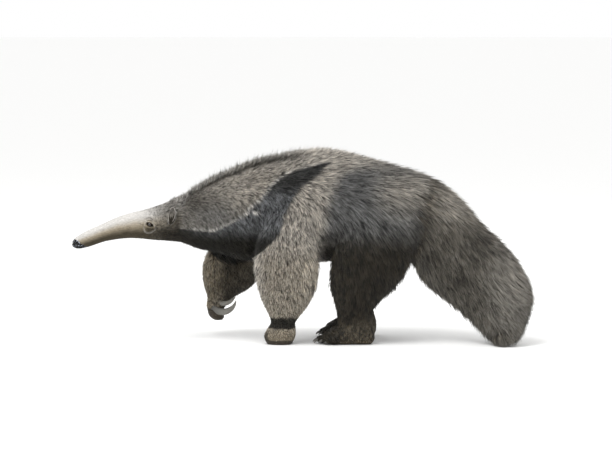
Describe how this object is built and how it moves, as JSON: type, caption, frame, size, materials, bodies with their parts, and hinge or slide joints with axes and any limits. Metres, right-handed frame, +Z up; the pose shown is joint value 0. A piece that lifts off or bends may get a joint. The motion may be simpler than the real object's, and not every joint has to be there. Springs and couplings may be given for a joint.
{
  "type": "giant anteater",
  "caption": "Life-size giant anteater in mid stride: long tapering snout, sloping back, one forefoot lifted, others planted, bushy tail curving down to the floor.",
  "frame": {"origin": "on the floor, under the centre of the bounding box", "axes": "+Z up, +X from the snout towards the tail, so the animal faces -X, and its left side is towards -Y"},
  "size_m": [1.3763, 0.3485, 0.5852],
  "materials": {
    "grizzled_coat": "coarse grizzled grey-brown hair",
    "black_coat": "coarse brown-black hair",
    "pale_coat": "short pale grey-beige hair",
    "snout_skin": "short pale hair over skin",
    "sole_skin": "dark hair and bare sole skin",
    "claw_horn": "grey horn, semi-gloss",
    "eye_wet": "wet dark brown eye"
  },
  "bodies": {
    "root": {"tail": "grizzled_coat", "neck": "grizzled_coat", "torso": "grizzled_coat", "leg_hind_left": "black_coat", "leg_hind_right": "black_coat", "leg_front_left": "pale_coat", "leg_front_right": "pale_coat", "foot_front_left": "pale_coat", "foot_front_right": "pale_coat", "foot_hind_left": "sole_skin", "foot_hind_right": "sole_skin", "head": "snout_skin", "ear_left": "snout_skin", "ear_right": "snout_skin", "eye_left": "eye_wet", "eye_right": "eye_wet", "claw_front_left_1": "claw_horn", "claw_front_left_2": "claw_horn", "claw_front_left_3": "claw_horn", "claw_hind_left_1": "claw_horn", "claw_hind_left_2": "claw_horn", "claw_hind_left_3": "claw_horn", "claw_hind_left_4": "claw_horn", "claw_hind_left_5": "claw_horn", "claw_front_right_1": "claw_horn", "claw_front_right_2": "claw_horn", "claw_front_right_3": "claw_horn", "claw_hind_right_1": "claw_horn", "claw_hind_right_2": "claw_horn", "claw_hind_right_3": "claw_horn", "claw_hind_right_4": "claw_horn", "claw_hind_right_5": "claw_horn"}
  },
  "joints": []
}
